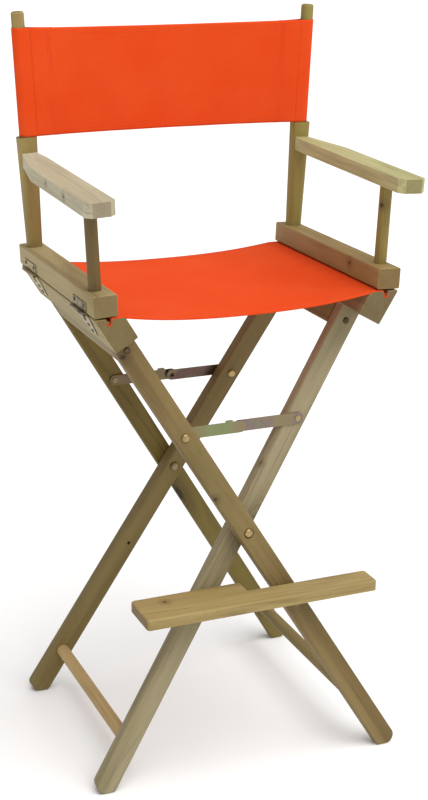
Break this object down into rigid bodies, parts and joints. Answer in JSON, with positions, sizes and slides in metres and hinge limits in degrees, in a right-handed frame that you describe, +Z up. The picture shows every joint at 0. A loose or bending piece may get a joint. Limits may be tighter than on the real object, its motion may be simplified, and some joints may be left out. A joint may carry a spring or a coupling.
{
  "type": "folding chair",
  "caption": "Tall wooden director's folding chair with orange canvas seat and back, hinged arm frames and a swinging footrest.",
  "frame": {"origin": "Centre of the bounding box, on the floor.", "axes": "+Z up, -Y towards the front that a sitter faces, +X to the right of somebody who looks at the front."},
  "size_m": [0.5286, 0.4568, 1.1607],
  "materials": {
    "wood": "bare pale hardwood with open grain",
    "canvas": "plain orange cotton canvas",
    "brass_plate": "yellow-passivated bolt heads",
    "zinc_plate": "iridescent yellow zinc plating",
    "dark_steel": "tarnished dark steel"
  },
  "bodies": {
    "frame_a": {"front_outer_leg": "wood", "rear_outer_leg": "wood", "left_seat_rail": "wood", "left_cross_rail": "wood", "right_stretcher": "wood", "pivot_bolts": "brass_plate", "pivot_nuts": "brass_plate", "pivot_spacers": "dark_steel", "left_leg_screws": "dark_steel", "outer_stay_pivots": "brass_plate", "footrest_peg": "wood", "left_seat_dowel": "wood", "left_front_hinge_lower_leaf": "dark_steel", "left_rear_hinge_lower_leaf": "dark_steel", "left_hinge_pins": "dark_steel", "left_hinge_lower_screws": "dark_steel", "seat_canvas": "canvas"},
    "frame_b": {"front_inner_leg": "wood", "rear_inner_leg": "wood", "right_seat_rail": "wood", "right_cross_rail": "wood", "left_stretcher": "wood", "right_leg_screws": "dark_steel", "inner_stay_pivots": "brass_plate", "footrest_pivot": "brass_plate", "right_seat_dowel": "wood", "right_front_hinge_lower_leaf": "dark_steel", "right_rear_hinge_lower_leaf": "dark_steel", "right_hinge_pins": "dark_steel", "right_hinge_lower_screws": "dark_steel"},
    "left_arm": {"left_arm_rail": "wood", "left_front_post": "wood", "left_rear_post": "wood", "left_armrest": "wood", "left_front_hinge_upper_leaf": "dark_steel", "left_rear_hinge_upper_leaf": "dark_steel", "left_hinge_upper_screws": "dark_steel", "back_canvas": "canvas"},
    "right_arm": {"right_arm_rail": "wood", "right_front_post": "wood", "right_rear_post": "wood", "right_armrest": "wood", "right_front_hinge_upper_leaf": "dark_steel", "right_rear_hinge_upper_leaf": "dark_steel", "right_hinge_upper_screws": "dark_steel"},
    "front_stay_a": {"front_stay_left_link": "zinc_plate", "front_stay_rivet": "zinc_plate"},
    "front_stay_b": {"front_stay_right_link": "zinc_plate"},
    "rear_stay_a": {"rear_stay_left_link": "zinc_plate", "rear_stay_rivet": "zinc_plate"},
    "rear_stay_b": {"rear_stay_right_link": "zinc_plate"},
    "footrest": {"footrest_plank": "wood", "footrest_bracket": "dark_steel", "footrest_screws": "dark_steel"}
  },
  "joints": [
    {"name": "fold", "type": "hinge", "parent": "frame_a", "child": "frame_b", "pos_m": [0, 0.01061, 0.4], "axis": [0, -1, 0], "range_deg": [0, 54], "deforming": ["seat_canvas", "back_canvas"]},
    {"name": "left_arm_hinge", "type": "hinge", "parent": "frame_a", "child": "left_arm", "pos_m": [-0.2475, 0.01061, 0.763], "axis": [0, -1, 0], "range_deg": [0, 27]},
    {"name": "right_arm_hinge", "type": "hinge", "parent": "frame_b", "child": "right_arm", "pos_m": [0.2475, 0.01061, 0.763], "axis": [0, 1, 0], "range_deg": [0, 27]},
    {"name": "front_stay_a_pivot", "type": "hinge", "parent": "frame_a", "child": "front_stay_a", "pos_m": [-0.09909, -0.1581, 0.56329], "axis": [0, 0.9962, -0.0872], "range_deg": [0, 54.8]},
    {"name": "front_stay_b_pivot", "type": "hinge", "parent": "frame_b", "child": "front_stay_b", "pos_m": [0.09909, -0.1581, 0.56329], "axis": [0, -0.9962, 0.0872], "range_deg": [0, 54.8]},
    {"name": "rear_stay_a_pivot", "type": "hinge", "parent": "frame_a", "child": "rear_stay_a", "pos_m": [-0.09909, 0.17933, 0.56329], "axis": [0, 0.9962, 0.0872], "range_deg": [0, 54.8]},
    {"name": "rear_stay_b_pivot", "type": "hinge", "parent": "frame_b", "child": "rear_stay_b", "pos_m": [0.09909, 0.17933, 0.56329], "axis": [0, -0.9962, -0.0872], "range_deg": [0, 54.8]},
    {"name": "footrest_pivot_turn", "type": "hinge", "parent": "frame_b", "child": "footrest", "pos_m": [-0.07919, -0.18381, 0.2695], "axis": [0, -0.9962, 0.0872], "range_deg": [0, 58.75]}
  ],
  "couplings": [
    {"joint": "left_arm_hinge", "follows": "fold", "ratio": 0.5},
    {"joint": "right_arm_hinge", "follows": "fold", "ratio": 0.5},
    {"joint": "front_stay_a_pivot", "follows": "fold", "ratio": 1.0148},
    {"joint": "front_stay_b_pivot", "follows": "fold", "ratio": 1.0148},
    {"joint": "rear_stay_a_pivot", "follows": "fold", "ratio": 1.0148},
    {"joint": "rear_stay_b_pivot", "follows": "fold", "ratio": 1.0148},
    {"joint": "footrest_pivot_turn", "follows": "fold", "ratio": 1.0879}
  ]
}
